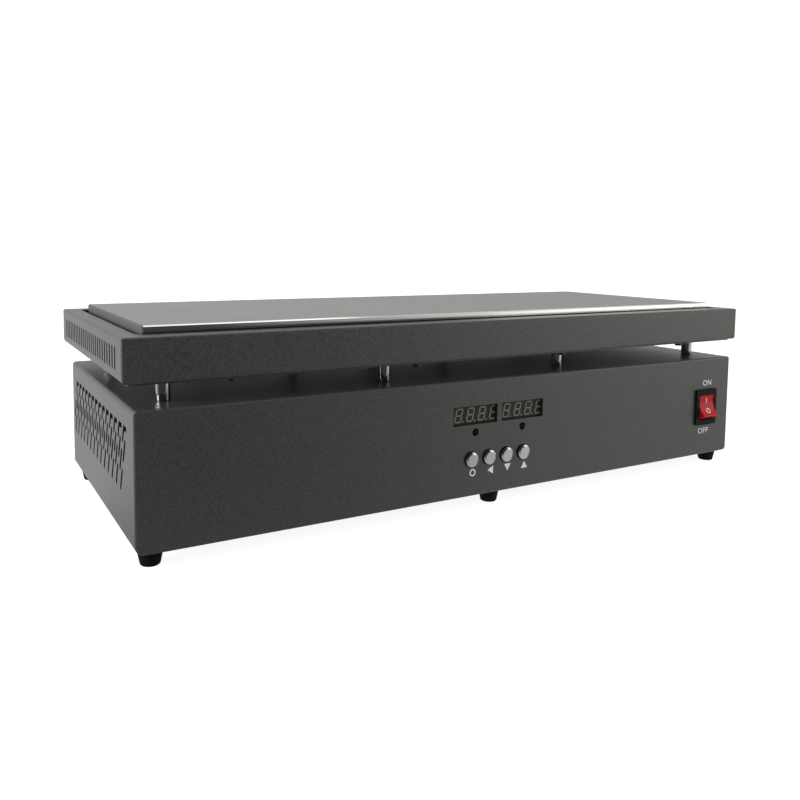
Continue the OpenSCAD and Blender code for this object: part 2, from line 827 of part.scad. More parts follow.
// Bezel and body with a pocket for the rocker
module switch_housing() {
  color("black") difference() {
    union() {
      facing_front(front_y) linear_extrude(bezel_t)
        translate([switch_x, pivot_z]) round_rect(bezel_w, bezel_h, bezel_r);
      facing_front(switch_back_y) linear_extrude(switch_body_l)
        translate([switch_x, pivot_z]) square([switch_body_w, switch_body_h], center = true);
    }
    facing_front(pivot_y + pocket_back) linear_extrude(pocket_back + pivot_depth + cut)
      translate([switch_x, pivot_z]) square([pocket_w, pocket_h], center = true);
    translate([switch_x - switch_body_w / 2 - cut, pivot_y, pivot_z]) rotate([0, 90, 0])
      cylinder(d = pivot_d + 2 * pin_clear, h = switch_body_w + 2 * cut);
  }
}

// Rocker section in depth and height, with a hollow face
module rocker_section() {
  difference() {
    intersection() {
      circle(rocker_r);
      translate([-rocker_r, -rocker_r]) square([rocker_r + rocker_back, 2 * rocker_r]);
    }
    translate([-rocker_dip - rocker_hollow_r, 0]) circle(rocker_hollow_r);
  }
}

// Rocker with its upper half pressed in
module switch_rocker() {
  color("red") translate([switch_x, pivot_y, pivot_z]) {
    translate([-rocker_w / 2, 0, 0]) rotate([90, 0, 90])
      linear_extrude(rocker_w) rotate(-rocker_tilt) rocker_section();
    translate([-rocker_w / 2 - pivot_pin_l, 0, 0]) rotate([0, 90, 0])
      cylinder(d = pivot_d, h = rocker_w + 2 * pivot_pin_l);
  }
}

module switch_tabs() {
  color("goldenrod") for (x = [-1, 1], z = [-1, 1])
    translate([switch_x + x * tab_x - tab_t / 2, switch_back_y, pivot_z + z * tab_z - tab_w / 2])
      cube([tab_t, tab_l, tab_w]);
}

module power_board() {
  color("darkgreen") translate([0, 0, pcb_z]) difference() {
    translate([-pcb_size[0] / 2, pcb_y - pcb_size[1] / 2, 0]) cube([pcb_size[0], pcb_size[1], board_t]);
    at_pcb_holes() screw_hole(m3, board_t);
  }
}

module power_board_spacers() {
  color("silver") translate([0, 0, floor_z]) at_pcb_holes() difference() {
    cylinder(d = board_spacer_d, h = pcb_lift, $fn = 6);
    translate([0, 0, -cut]) cylinder(d = m3[0] + 2 * fit_clear, h = pcb_lift + 2 * cut);
  }
}

module power_board_screws() {
  color("silver") translate([0, 0, pcb_top]) at_pcb_holes()
    mirror([0, 0, 1]) screw(m3, board_t + pcb_lift + base_t / 2);
}

// Laminated core with two windows
module transformer_core() {
  w = core_size[0];
  h = core_size[2];
  window_w = w / 2 - 2 * core_leg;
  color("slategray") translate([core_x, core_y + core_size[1] / 2, pcb_top]) rotate([90, 0, 0])
    linear_extrude(core_size[1]) difference() {
      translate([-w / 2, 0]) square([w, h]);
      for (s = [-1, 1]) translate([s * w / 4 - window_w / 2, core_leg])
        square([window_w, h - 2 * core_leg]);
    }
}

// Winding on the middle leg, filling both windows
module transformer_coil() {
  w = core_size[0] - 2 * core_leg - 2 * fit_clear;
  h = core_size[2] - 2 * core_leg - 2 * fit_clear;
  leg_w = 2 * core_leg + 2 * fit_clear;
  d = core_size[1] + 2 * coil_side;
  color("peru") translate([core_x, core_y, pcb_top + core_leg + fit_clear]) difference() {
    translate([-w / 2, -d / 2, 0]) cube([w, d, h]);
    translate([-leg_w / 2, -core_size[1] / 2 - fit_clear, -cut])
      cube([leg_w, core_size[1] + 2 * fit_clear, h + 2 * cut]);
  }
}

module terminal_block() {
  ways = 6;
  way_size = [6, 7, 6];
  way_lift = 3;
  pitch = block_size[0] / ways;
  color("seagreen") translate([0, block_y, pcb_top]) difference() {
    translate([-block_size[0] / 2, -block_size[1] / 2, 0]) cube(block_size);
    for (i = [0:ways - 1])
      translate([(i - (ways - 1) / 2) * pitch - way_size[0] / 2, -block_size[1] / 2 - cut, way_lift])
        cube(way_size);
  }
}

module fuse() {
  color("lightblue") translate([fuse_x, fuse_y - fuse_l / 2, pcb_top + fuse_lift + fuse_d / 2])
    rotate([-90, 0, 0]) cylinder(d = fuse_d, h = fuse_l);
}

module fuse_clips() {
  clip_l = 6;
  clip_t = 1;
  clip_inset = 4;
  color("gold") for (s = [-1, 1])
    translate([fuse_x, fuse_y + s * (fuse_l / 2 - clip_inset) - clip_l / 2, pcb_top]) difference() {
      translate([-fuse_d / 2 - clip_t, 0, 0])
        cube([fuse_d + 2 * clip_t, clip_l, fuse_lift + fuse_d * 0.8]);
      translate([0, -cut, fuse_lift + fuse_d / 2]) rotate([-90, 0, 0])
        cylinder(d = fuse_d + 2 * pin_clear, h = clip_l + 2 * cut);
      translate([-fuse_d / 2, -cut, fuse_lift + fuse_d / 2]) cube([fuse_d, clip_l + 2 * cut, fuse_d]);
    }
}

// Finned block standing on its fins
module heat_sink() {
  pitch = (sink_size[0] - fin_t) / (fin_n - 1);
  color("silver") translate([sink_x - sink_size[0] / 2, sink_y - sink_size[1] / 2, floor_z]) {
    translate([0, 0, sink_size[2] - sink_base]) cube([sink_size[0], sink_size[1], sink_base]);
    for (i = [0:fin_n - 1]) translate([i * pitch, 0, 0])
      cube([fin_t, sink_size[1], sink_size[2] - sink_base]);
  }
}

module solid_state_relay() {
  color("whitesmoke") translate([sink_x, sink_y, floor_z + sink_size[2]]) difference() {
    translate([-relay_size[0] / 2, -relay_size[1] / 2, 0]) cube(relay_size);
    for (s = [-1, 1]) translate([s * relay_size[0] / 2, 0, relay_size[2]])
      cube(relay_notch, center = true);
  }
}

// Mouth outline with two cut corners
module inlet_outline(w, h) {
  c = h / 4;
  polygon([
    [-w / 2, -h / 2], [w / 2, -h / 2], [w / 2, h / 2 - c],
    [w / 2 - c, h / 2], [c - w / 2, h / 2], [-w / 2, h / 2 - c]
  ]);
}

module mains_inlet() {
  color("black") translate([inlet_x, back_y, inlet_mid_z]) rotate([90, 0, 0]) difference() {
    union() {
      translate([0, 0, -inlet_flange[2]]) linear_extrude(inlet_flange[2]) intersection() {
        square([inlet_flange[0], inlet_flange[1]], center = true);
        circle(d = inlet_flange[0] + 1);
      }
      linear_extrude(inlet_body[2]) square([inlet_body[0], inlet_body[1]], center = true);
    }
    translate([0, 0, -inlet_flange[2] - cut]) linear_extrude(inlet_mouth[2] + inlet_flange[2] + cut)
      inlet_outline(inlet_mouth[0], inlet_mouth[1]);
    translate([0, 0, -cut]) linear_extrude(inlet_body[2] + 2 * cut)
      for (p = pin_places) translate(p)
        square([pin_size[0] + 2 * pin_clear, pin_size[1] + 2 * pin_clear], center = true);
    for (s = [-1, 1]) translate([s * inlet_screw_pitch / 2, 0, -inlet_flange[2]])
      screw_hole(m3, inlet_flange[2]);
  }
}

module inlet_pins() {
  color("gold") translate([inlet_x, back_y, inlet_mid_z]) rotate([90, 0, 0])
    translate([0, 0, pin_short - inlet_flange[2]])
      linear_extrude(inlet_flange[2] - pin_short + inlet_body[2] + pin_tail)
        for (p = pin_places) translate(p) square(pin_size, center = true);
}

module inlet_screws() {
  color("silver") translate([inlet_x, back_y + inlet_flange[2], inlet_mid_z]) rotate([90, 0, 0])
    for (s = [-1, 1]) translate([s * inlet_screw_pitch / 2, 0, 0]) screw(m3, inlet_flange[2] + sheet_t + 4);
}

// Two leads from the inlet to the switch and two from the switch to the terminals
module mains_leads() {
  inlet_end = back_y - inlet_body[2] - pin_tail;
  tab_end = switch_back_y + tab_l;
  pin_x = pin_places[2][0];
  pin_z = inlet_mid_z + pin_places[2][1];
  low_z = pcb_top + lead_lift;
  run_y = tab_end + lead_bend;
  drop_x = block_size[0] / 3;
  aisle_x = (pcb_size[0] + aisle_w) / 2;
  color("saddlebrown") for (s = [-1, 1]) {
    lead([
      [inlet_x + s * pin_x, inlet_end, pin_z],
      [inlet_x + s * pin_x, inlet_end - lead_bend, pin_z],
      [switch_x + s * tab_x, run_y, pivot_z + tab_z],
      [switch_x + s * tab_x, tab_end, pivot_z + tab_z]
    ], lead_d);
    a = s * lead_apart;
    lead([
      [switch_x + s * tab_x, tab_end, pivot_z - tab_z],
      [switch_x + s * tab_x, tab_end + lead_bend / 2, pivot_z - tab_z],
      [switch_x - lead_bend, run_y + a, low_z],
      [aisle_x + a, run_y + a, low_z],
      [aisle_x + a, block_y + a, block_top + lead_arch],
      [drop_x + a, block_y + a, block_top + lead_arch],
      [drop_x + a, block_y + a, block_top]
    ], lead_d);
  }
}

module earth_stud() {
  color("gold") translate([stud_x, sink_y, foot_h]) {
    cylinder(d = m4[0], h = base_t + 12);
    translate([0, 0, base_t]) cylinder(d = nut_m4[0], h = nut_m4[1], $fn = 6);
  }
}

case_cover();
base_plate();
rubber_feet();
foot_screws();
foot_nuts();
tray_cover();
tray_base();
tray_screws();
hot_plate();
plate_spacers();
plate_screws();
insulation_board();
support_pillars();
pillar_screws_upper();
pillar_screws_lower();
cartridge_heaters();
temperature_probe();
overheat_thermostat();
wire_conduit();
heater_loom();
control_board();
board_spacers();
board_screws();
actual_display();
set_display();
heating_lamp();
overheat_lamp();
tact_switches();
set_button();
left_button();
down_button();
up_button();
switch_housing();
switch_rocker();
switch_tabs();
power_board();
power_board_spacers();
power_board_screws();
transformer_core();
transformer_coil();
terminal_block();
fuse();
fuse_clips();
heat_sink();
solid_state_relay();
mains_inlet();
inlet_pins();
inlet_screws();
mains_leads();
earth_stud();
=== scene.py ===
import json
import math

import bpy
from mathutils import Matrix, Vector


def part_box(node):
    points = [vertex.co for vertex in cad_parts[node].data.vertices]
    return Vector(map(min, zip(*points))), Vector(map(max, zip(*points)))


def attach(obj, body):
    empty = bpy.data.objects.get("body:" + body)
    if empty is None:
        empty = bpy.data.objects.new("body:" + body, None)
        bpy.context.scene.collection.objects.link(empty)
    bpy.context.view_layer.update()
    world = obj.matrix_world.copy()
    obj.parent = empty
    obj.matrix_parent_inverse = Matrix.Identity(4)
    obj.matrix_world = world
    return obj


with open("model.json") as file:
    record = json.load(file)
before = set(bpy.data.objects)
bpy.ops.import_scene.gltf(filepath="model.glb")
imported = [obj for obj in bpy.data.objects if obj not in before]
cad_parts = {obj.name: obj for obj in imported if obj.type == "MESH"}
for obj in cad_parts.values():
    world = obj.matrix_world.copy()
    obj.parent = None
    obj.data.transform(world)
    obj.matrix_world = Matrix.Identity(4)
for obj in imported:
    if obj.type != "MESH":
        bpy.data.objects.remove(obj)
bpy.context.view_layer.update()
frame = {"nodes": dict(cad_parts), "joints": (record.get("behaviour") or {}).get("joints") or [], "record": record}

MM = 0.001
STAND = "heater_stand"
ROCKER = "rocker_body"

# Place of the front sheet, taken from the CAD node, in metres
case_lo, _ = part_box("case_cover")
PANEL_Y = case_lo.y
PRINT_LIFT = 0.04 * MM


# Shader helpers

# Most noise values lie between these two
NOISE_LOW = 0.3
NOISE_HIGH = 0.7
FINE_DETAIL = 3.0
BROAD_DETAIL = 2.0


def empty_tree(owner):
    """Gives a material or world an empty node tree."""
    owner.use_nodes = True
    owner.node_tree.nodes.clear()
    return owner.node_tree


def material(name):
    """A new material, its node tree and its surface shader."""
    mat = bpy.data.materials.new(name)
    tree = empty_tree(mat)
    out = tree.nodes.new("ShaderNodeOutputMaterial")
    bsdf = tree.nodes.new("ShaderNodeBsdfPrincipled")
    tree.links.new(bsdf.outputs["BSDF"], out.inputs["Surface"])
    return mat, tree, bsdf


def noise(tree, scale, detail=BROAD_DETAIL):
    """Noise in object space, so it stays with the piece."""
    coord = tree.nodes.new("ShaderNodeTexCoord")
    tex = tree.nodes.new("ShaderNodeTexNoise")
    tex.inputs["Scale"].default_value = scale
    tex.inputs["Detail"].default_value = detail
    tree.links.new(coord.outputs["Object"], tex.inputs["Vector"])
    return tex.outputs["Fac"]


def spread(tree, fac, low, high, lo_at=NOISE_LOW, hi_at=NOISE_HIGH):
    """Maps a value between lo_at and hi_at to the range low to high."""
    node = tree.nodes.new("ShaderNodeMapRange")
    node.inputs["From Min"].default_value = lo_at
    node.inputs["From Max"].default_value = hi_at
    node.inputs["To Min"].default_value = low
    node.inputs["To Max"].default_value = high
    tree.links.new(fac, node.inputs["Value"])
    return node.outputs["Result"]


def tint(tree, fac, first, second, lo_at=NOISE_LOW, hi_at=NOISE_HIGH):
    """Mixes two colours by a value between lo_at and hi_at."""
    ramp = tree.nodes.new("ShaderNodeValToRGB")
    ramp.color_ramp.elements[0].position = lo_at
    ramp.color_ramp.elements[0].color = (*first, 1)
    ramp.color_ramp.elements[1].position = hi_at
    ramp.color_ramp.elements[1].color = (*second, 1)
    tree.links.new(fac, ramp.inputs["Fac"])
    return ramp.outputs["Color"]


def times(tree, a, b):
    """Product of two colours."""
    node = tree.nodes.new("ShaderNodeMix")
    node.data_type = "RGBA"
    node.blend_type = "MULTIPLY"
    node.inputs["Factor"].default_value = 1.0
    tree.links.new(a, node.inputs["A"])
    tree.links.new(b, node.inputs["B"])
    return node.outputs["Result"]


def combine(tree, operation, a, b):
    """Value made from two others; b may be a number."""
    node = tree.nodes.new("ShaderNodeMath")
    node.operation = operation
    tree.links.new(a, node.inputs[0])
    if isinstance(b, float):
        node.inputs[1].default_value = b
    else:
        tree.links.new(b, node.inputs[1])
    return node.outputs["Value"]


def measure(tree, operation, vector, other=(0, 0, 0)):
    """Value made from a vector, such as its length or its product with another."""
    node = tree.nodes.new("ShaderNodeVectorMath")
    node.operation = operation
    tree.links.new(vector, node.inputs[0])
    node.inputs[1].default_value = other
    return node.outputs["Value"]


# A face counts as turned along an axis where that part of its normal is larger than this
TURNED = 0.5


def facing(tree, axis):
    """One on faces turned along an axis, zero on the others."""
    geo = tree.nodes.new("ShaderNodeNewGeometry")
    parts = tree.nodes.new("ShaderNodeSeparateXYZ")
    tree.links.new(geo.outputs["True Normal"], parts.inputs["Vector"])
    square = combine(tree, "MULTIPLY", parts.outputs[axis], parts.outputs[axis])
    return combine(tree, "GREATER_THAN", square, TURNED ** 2)


def bump(tree, bsdf, fac, depth, strength):
    """Fine relief of a depth in metres."""
    node = tree.nodes.new("ShaderNodeBump")
    node.inputs["Strength"].default_value = strength
    node.inputs["Distance"].default_value = depth
    tree.links.new(fac, node.inputs["Height"])
    tree.links.new(node.outputs["Normal"], bsdf.inputs["Normal"])


# Materials

PLAIN_SCALE = 300.0
PLAIN_ROUGH_VARY = 0.1
PLAIN_GRAIN_STRENGTH = 0.4


def plain(name, colour, rough, metal=0.0, vary=0.12, grain=0.0, shine=0.5):
    """A finish with slight variation in colour and roughness, and grain of a depth in metres."""
    mat, tree, bsdf = material(name)
    fac = noise(tree, PLAIN_SCALE)
    dark = [c * (1 - vary) for c in colour]
    pale = [c * (1 + vary) for c in colour]
    tree.links.new(tint(tree, fac, dark, pale), bsdf.inputs["Base Color"])
    smooth, coarse = rough * (1 - PLAIN_ROUGH_VARY), rough * (1 + PLAIN_ROUGH_VARY)
    tree.links.new(spread(tree, fac, smooth, coarse), bsdf.inputs["Roughness"])
    bsdf.inputs["Metallic"].default_value = metal
    bsdf.inputs["Specular IOR Level"].default_value = shine
    if grain:
        bump(tree, bsdf, fac, grain, PLAIN_GRAIN_STRENGTH)
    return mat


COAT_SCALE = 1200.0
COAT_DARK = (0.028, 0.028, 0.027)
COAT_PALE = (0.07, 0.07, 0.068)
COAT_ROUGH = (0.34, 0.44)
COAT_PATCH_SCALE = 40.0
COAT_PATCH = (0.95, 0.95, 0.95)
COAT_GRAIN = 0.12 * MM
COAT_GRAIN_STRENGTH = 0.5


def powder_coat():
    """Dark grey coat with a fine grain."""
    mat, tree, bsdf = material("powder_coat")
    fine = noise(tree, COAT_SCALE, FINE_DETAIL)
    speck = tint(tree, fine, COAT_DARK, COAT_PALE)
    patch = tint(tree, noise(tree, COAT_PATCH_SCALE), COAT_PATCH, (1, 1, 1))
    tree.links.new(times(tree, speck, patch), bsdf.inputs["Base Color"])
    tree.links.new(spread(tree, fine, *COAT_ROUGH), bsdf.inputs["Roughness"])
    bump(tree, bsdf, fine, COAT_GRAIN, COAT_GRAIN_STRENGTH)
    return mat


PLATE_SCALE = 1400.0
PLATE_DARK = (0.22, 0.218, 0.21)
PLATE_PALE = (0.34, 0.338, 0.33)
PLATE_ROUGH = (0.5, 0.62)
PLATE_METAL = 0.6
PLATE_PATCH_SCALE = 12.0
PLATE_PATCH = (0.92, 0.92, 0.92)
# Painted shade on the faces at the ends of the plate, as a share of their colour
PLATE_END_PAINTED_SHADE = (0.5, 0.5, 0.5)
PLATE_GRAIN = 0.06 * MM
PLATE_GRAIN_STRENGTH = 0.25
MILLED_DARK = (0.66, 0.65, 0.63)
MILLED_PALE = (0.72, 0.71, 0.69)
MILLED_ROUGH = (0.09, 0.12)


def blasted_plate():
    """Blasted faces with painted shade on the faces at the ends, and the long edges left bright from the cutter.
    """
    mat, tree, blasted = material("blasted_plate")
    fine = noise(tree, PLATE_SCALE, FINE_DETAIL)
    broad = noise(tree, PLATE_PATCH_SCALE)
    grey = tint(tree, fine, PLATE_DARK, PLATE_PALE)
    patch = tint(tree, broad, PLATE_PATCH, (1, 1, 1))
    # Painted shade: the faces turned along x are darkened
    painted_end_shade = tint(tree, facing(tree, "X"), (1, 1, 1), PLATE_END_PAINTED_SHADE, 0, 1)
    tree.links.new(times(tree, times(tree, grey, patch), painted_end_shade), blasted.inputs["Base Color"])
    tree.links.new(spread(tree, fine, *PLATE_ROUGH), blasted.inputs["Roughness"])
    blasted.inputs["Metallic"].default_value = PLATE_METAL
    bump(tree, blasted, fine, PLATE_GRAIN, PLATE_GRAIN_STRENGTH)

    milled = tree.nodes.new("ShaderNodeBsdfPrincipled")
    tree.links.new(tint(tree, broad, MILLED_DARK, MILLED_PALE), milled.inputs["Base Color"])
    tree.links.new(spread(tree, fine, *MILLED_ROUGH), milled.inputs["Roughness"])
    milled.inputs["Metallic"].default_value = 1.0

    both = tree.nodes.new("ShaderNodeMixShader")
    tree.links.new(facing(tree, "Y"), both.inputs["Fac"])
    tree.links.new(blasted.outputs["BSDF"], both.inputs[1])
    tree.links.new(milled.outputs["BSDF"], both.inputs[2])
    out = next(n for n in tree.nodes if n.type == "OUTPUT_MATERIAL")
    tree.links.new(both.outputs["Shader"], out.inputs["Surface"])
    return mat


MATS = {
    "grey_powder_coat": powder_coat(),
    "black_rubber": plain("rubber", (0.004, 0.004, 0.004), rough=0.7, grain=0.04 * MM, shine=0.1),
    "bright_steel": plain("steel", (0.55, 0.55, 0.55), rough=0.28, metal=1.0),
    "black_steel": plain("black_steel", (0.02, 0.02, 0.021), rough=0.4, metal=0.3),
    "blasted_aluminium": blasted_plate(),
    "fibre_board": plain("fibre_board", (0.7, 0.66, 0.55), rough=0.9, grain=0.1 * MM),
    "pillar_metal": plain("pillar_metal", (0.45, 0.44, 0.415), rough=0.07, metal=1.0, vary=0.04),
    "white_ceramic": plain("ceramic", (0.75, 0.73, 0.68), rough=0.5),
    "wire_sleeve": plain("wire_sleeve", (0.65, 0.63, 0.57), rough=0.8, grain=0.1 * MM),
    "circuit_board": plain("circuit_board", (0.02, 0.12, 0.04), rough=0.35),
    "display_face": plain("display_face", (0.018, 0.019, 0.017), rough=0.4, shine=0.2),
    "green_lens": plain("green_lens", (0.002, 0.006, 0.003), rough=0.12, shine=0.07),
    "red_lens": plain("red_lens", (0.012, 0.002, 0.002), rough=0.12, shine=0.07),
    "black_plastic": plain("black_plastic", (0.005, 0.005, 0.006), rough=0.6, grain=0.03 * MM, shine=0.12),
    "button_chrome": plain("button_chrome", (0.42, 0.42, 0.42), rough=0.22, metal=1.0, vary=0.03),
    "red_rocker": plain("red_rocker", (0.44, 0.006, 0.008), rough=0.3, shine=0.15),
    "contact_brass": plain("brass", (0.6, 0.42, 0.16), rough=0.3, metal=1.0),
    "core_steel": plain("core_steel", (0.12, 0.12, 0.13), rough=0.5, metal=0.6),
    "coil_wrap": plain("coil_wrap", (0.45, 0.25, 0.06), rough=0.5),
    "terminal_green": plain("terminal_green", (0.04, 0.25, 0.12), rough=0.45),
    "fuse_glass": plain("fuse_glass", (0.6, 0.65, 0.65), rough=0.1),
    "relay_plastic": plain("relay_plastic", (0.6, 0.6, 0.58), rough=0.5),
}
WHITE_INK = plain("white_ink", (0.85, 0.85, 0.84), rough=0.6, vary=0.03, shine=0.2)
SEGMENT = plain("segment", (0.19, 0.19, 0.165), rough=0.6, shine=0.2)

SLOT_OF = {row["node"]: row["material_slot"] for row in frame["record"]["subparts"]}
for node, obj in frame["nodes"].items():
    obj.data.materials.clear()
    obj.data.materials.append(MATS[SLOT_OF[node]])


# Printed marks

def add_object(name, data):
    """A new object in the scene."""
    obj = bpy.data.objects.new(name, data)
    bpy.context.scene.collection.objects.link(obj)
    return obj


def mark(name, outlines, bend, mat, body):
    """Thin shape from outlines drawn in x and z; bend gives the place of each drawn point."""
    verts, faces = [], []
    for outline in outlines:
        first = len(verts)
        verts += [bend(x, z) for x, z in outline]
        faces.append(tuple(range(first, first + len(outline))))
    mesh = bpy.data.meshes.new(name)
    mesh.from_pydata(verts, [], faces)
    mesh.materials.append(mat)
    obj = add_object(name, mesh)
    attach(obj, body)


def at_depth(y):
    """Places drawn points on an upright plane facing the front."""
    return lambda x, z: (x, y - PRINT_LIFT, z)


def panel_mark(name, outlines):
    """White print on the front sheet."""
    mark(name, outlines, at_depth(PANEL_Y), WHITE_INK, STAND)


def rect(x, z, w, h):
    """Rectangle centred at x and z."""
    return [(x + i * w / 2, z + k * h / 2) for i, k in ((-1, -1), (1, -1), (1, 1), (-1, 1))]


def ring(x, z, outer, inner, count=32):
    """Ring as a row of four-sided pieces."""
    quads = []
    for i in range(count):
        a, b = 2 * math.pi * i / count, 2 * math.pi * (i + 1) / count
        quads.append([
            (x + r * math.cos(t), z + r * math.sin(t))
            for r, t in ((inner, a), (outer, a), (outer, b), (inner, b))
        ])
    return quads


# Thickening of the letters, as a share of their size
LETTER_BOLD = 0.005
LETTER_STEPS = 4


def word(name, text, x, z, width, height):
    """Printed word on the front sheet, centred at x and z and fitted to a width and height."""
    curve = bpy.data.curves.new(name, "FONT")
    curve.body = text
    curve.size = 1.0
    curve.offset = LETTER_BOLD
    curve.resolution_u = LETTER_STEPS
    maker = add_object(name + "_curve", curve)
    bpy.context.view_layer.update()
    drawn = bpy.data.meshes.new_from_object(maker)
    bpy.data.objects.remove(maker)
    bpy.data.curves.remove(curve)
    xs = [v.co.x for v in drawn.vertices]
    zs = [v.co.y for v in drawn.vertices]
    wide, tall = max(xs) - min(xs), max(zs) - min(zs)
    outlines = [
        [
            (x + ((xs[i] - min(xs)) / wide - 0.5) * width, z + ((zs[i] - min(zs)) / tall - 0.5) * height)
            for i in face.vertices
        ]
        for face in drawn.polygons
    ]
    bpy.data.meshes.remove(drawn)
    panel_mark(name, outlines)


# Seven-segment digits on the sunk display faces
DIGITS = 4
DIGIT_PITCH = 10.27 * MM
DIGIT_H = 10.4 * MM
DIGIT_W = 6.2 * MM
DIGIT_SHIFT = 2.5 * MM
SEG_T = 1.05 * MM
SEG_GAP = 0.12 * MM
POINT_R = 0.7 * MM
POINT_AWAY = 1.5 * MM
POINT_SIDES = 12
LEAN = math.tan(math.radians(11))
FACE_SUNK = 1.85 * MM
FACE_EDGE = 1.1 * MM
# The last digit runs past the window. A bar is cut at the edge if it loses less than MOST_CUT
# and keeps more than LEAST_KEPT, and is left out otherwise
MOST_CUT = 2 * MM
LEAST_KEPT = 1 * MM


def digit(x, z):
    """Seven separate segments and a point, leaning right."""
    half_w, half_h, t = DIGIT_W / 2 - SEG_T / 2, DIGIT_H / 2 - SEG_T / 2, SEG_T / 2
    bars = []
    for level in (-half_h, 0.0, half_h):
        a, b = -half_w + SEG_GAP, half_w - SEG_GAP
        bars.append([
            (a, level), (a + t, level - t), (b - t, level - t),
            (b, level), (b - t, level + t), (a + t, level + t)
        ])
    for side in (-half_w, half_w):
        for low in (-half_h, 0.0):
            a, b = low + SEG_GAP, low + half_h - SEG_GAP
            bars.append([
                (side, a), (side + t, a + t), (side + t, b - t),
                (side, b), (side - t, b - t), (side - t, a + t)
            ])
    point_x, point_z = DIGIT_W / 2 + POINT_AWAY, -DIGIT_H / 2 + SEG_T / 2
    turns = [2 * math.pi * i / POINT_SIDES for i in range(POINT_SIDES)]
    bars.append([(point_x + POINT_R * math.cos(a), point_z + POINT_R * math.sin(a)) for a in turns])
    return [[(x + px + pz * LEAN, z + pz) for px, pz in bar] for bar in bars]


for node in ("actual_display", "set_display"):
    lo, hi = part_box(node)
    mid = (lo + hi) / 2
    limit = hi.x - FACE_EDGE
    outlines = []
    for i in range(DIGITS):
        for bar in digit(mid.x + (i - (DIGITS - 1) / 2) * DIGIT_PITCH + DIGIT_SHIFT, mid.z):
            xs = [px for px, _ in bar]
            if max(xs) < limit + MOST_CUT and min(xs) < limit - LEAST_KEPT:
                outlines.append([(min(px, limit), pz) for px, pz in bar])
    mark(node + "_digits", outlines, at_depth(lo.y + FACE_SUNK), SEGMENT, STAND)

# Marks below the buttons
ARROW_L = 5.2 * MM
ARROW_W = 6.1 * MM
RING_R = 2.7 * MM
RING_HOLE_R = 1.7 * MM
MARK_RIGHT = 1.5 * MM
MARK_ABOVE_CASE_EDGE = 17.3 * MM
MARK_Z = case_lo.z + MARK_ABOVE_CASE_EDGE


def arrow(x, z, dx, dz):
    """Triangle centred at x and z with its tip towards dx and dz."""
    tip = (x + dx * ARROW_L / 2, z + dz * ARROW_L / 2)
    base = (x - dx * ARROW_L / 2, z - dz * ARROW_L / 2)
    return [tip] + [(base[0] + s * dz * ARROW_W / 2, base[1] - s * dx * ARROW_W / 2) for s in (-1, 1)]


def below_button(node):
    """Place in x of the mark below a button."""
    lo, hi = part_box(node)
    return (lo.x + hi.x) / 2 + MARK_RIGHT


for node, dx, dz in (("left_button", -1, 0), ("down_button", 0, -1), ("up_button", 0, 1)):
    panel_mark(node + "_mark", [arrow(below_button(node), MARK_Z, dx, dz)])
panel_mark("set_button_mark", ring(below_button("set_button"), MARK_Z, RING_R, RING_HOLE_R))

# Words beside the switch, from the middle of its housing
WORD_H = 4.8 * MM
ON_W = 10.7 * MM
ON_RIGHT = 2.0 * MM
ON_ABOVE = 20.9 * MM
OFF_W = 13.4 * MM
OFF_LEFT = 0.8 * MM
OFF_BELOW = 21.1 * MM
housing_lo, housing_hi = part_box("switch_housing")
housing = (housing_lo + housing_hi) / 2
word("on_mark", "ON", housing.x + ON_RIGHT, housing.z + ON_ABOVE, ON_W, WORD_H)
word("off_mark", "OFF", housing.x - OFF_LEFT, housing.z - OFF_BELOW, OFF_W, WORD_H)

# Marks on the hollow rocker face
tilt = next(j for j in frame["joints"] if j["name"] == "rocker_tilt")
pivot = Vector(tilt["pos_m"])
REST_TILT = math.radians(16)
FACE_DIP = 4.0 * MM
FACE_R = 16.31 * MM
MARK_AT = 4.6 * MM
ROCKER_LIFT = 0.12 * MM
BAR_W = 0.8 * MM
BAR_STEP = 0.5 * MM
BAR_STEPS_EACH_WAY = 4
OFF_RING_R = 2.3 * MM
OFF_RING_HOLE_R = 1.6 * MM


def on_rocker(x, s):
    """Places a point drawn in x and in arc length along the hollow face."""
    a = s / FACE_R
    depth = -FACE_DIP - FACE_R + (FACE_R - ROCKER_LIFT) * math.cos(a)
    height = (FACE_R - ROCKER_LIFT) * math.sin(a)
    y = depth * math.cos(REST_TILT) + height * math.sin(REST_TILT)
    z = height * math.cos(REST_TILT) - depth * math.sin(REST_TILT)
    return (pivot.x + x, pivot.y + y, pivot.z + z)


steps = range(-BAR_STEPS_EACH_WAY, BAR_STEPS_EACH_WAY + 1)
on_bar = [rect(0, MARK_AT + k * BAR_STEP, BAR_W, BAR_STEP) for k in steps]
off_ring = ring(0, -MARK_AT, OFF_RING_R, OFF_RING_HOLE_R)
mark("rocker_on_mark", on_bar, on_rocker, WHITE_INK, ROCKER)
mark("rocker_off_mark", off_ring, on_rocker, WHITE_INK, ROCKER)


# Stage: floor, light and camera

# Towards the far right of the room, and less where it is high up
FAR_SIDE = (0.6, 0.8, -0.5)
# Strength of the dark side of the background in metal and glass, as a share of the white side
DARK_SHARE = 0.05


def mirror_ray(tree):
    """One for rays from metal and glass, zero for others."""
    path = tree.nodes.new("ShaderNodeLightPath")
    return combine(tree, "MAXIMUM", path.outputs["Is Glossy Ray"], path.outputs["Is Transmission Ray"])


def background(tree, depth, dark_to, white_from, seen, mirrored, fill):
    """Strength of the white background to the camera, in metal and glass, and as fill light.

    Metal and glass show it dark up to one depth and white from the other.
    """
    path = tree.nodes.new("ShaderNodeLightPath")
    behind = spread(tree, depth, DARK_SHARE * mirrored, mirrored, dark_to, white_from)
    in_view = combine(tree, "MULTIPLY", path.outputs["Is Camera Ray"], seen)
    in_mirror = combine(tree, "MULTIPLY", mirror_ray(tree), behind)
    ambient = combine(tree, "MULTIPLY", path.outputs["Is Diffuse Ray"], fill)
    return combine(tree, "ADD", combine(tree, "ADD", in_view, in_mirror), ambient)


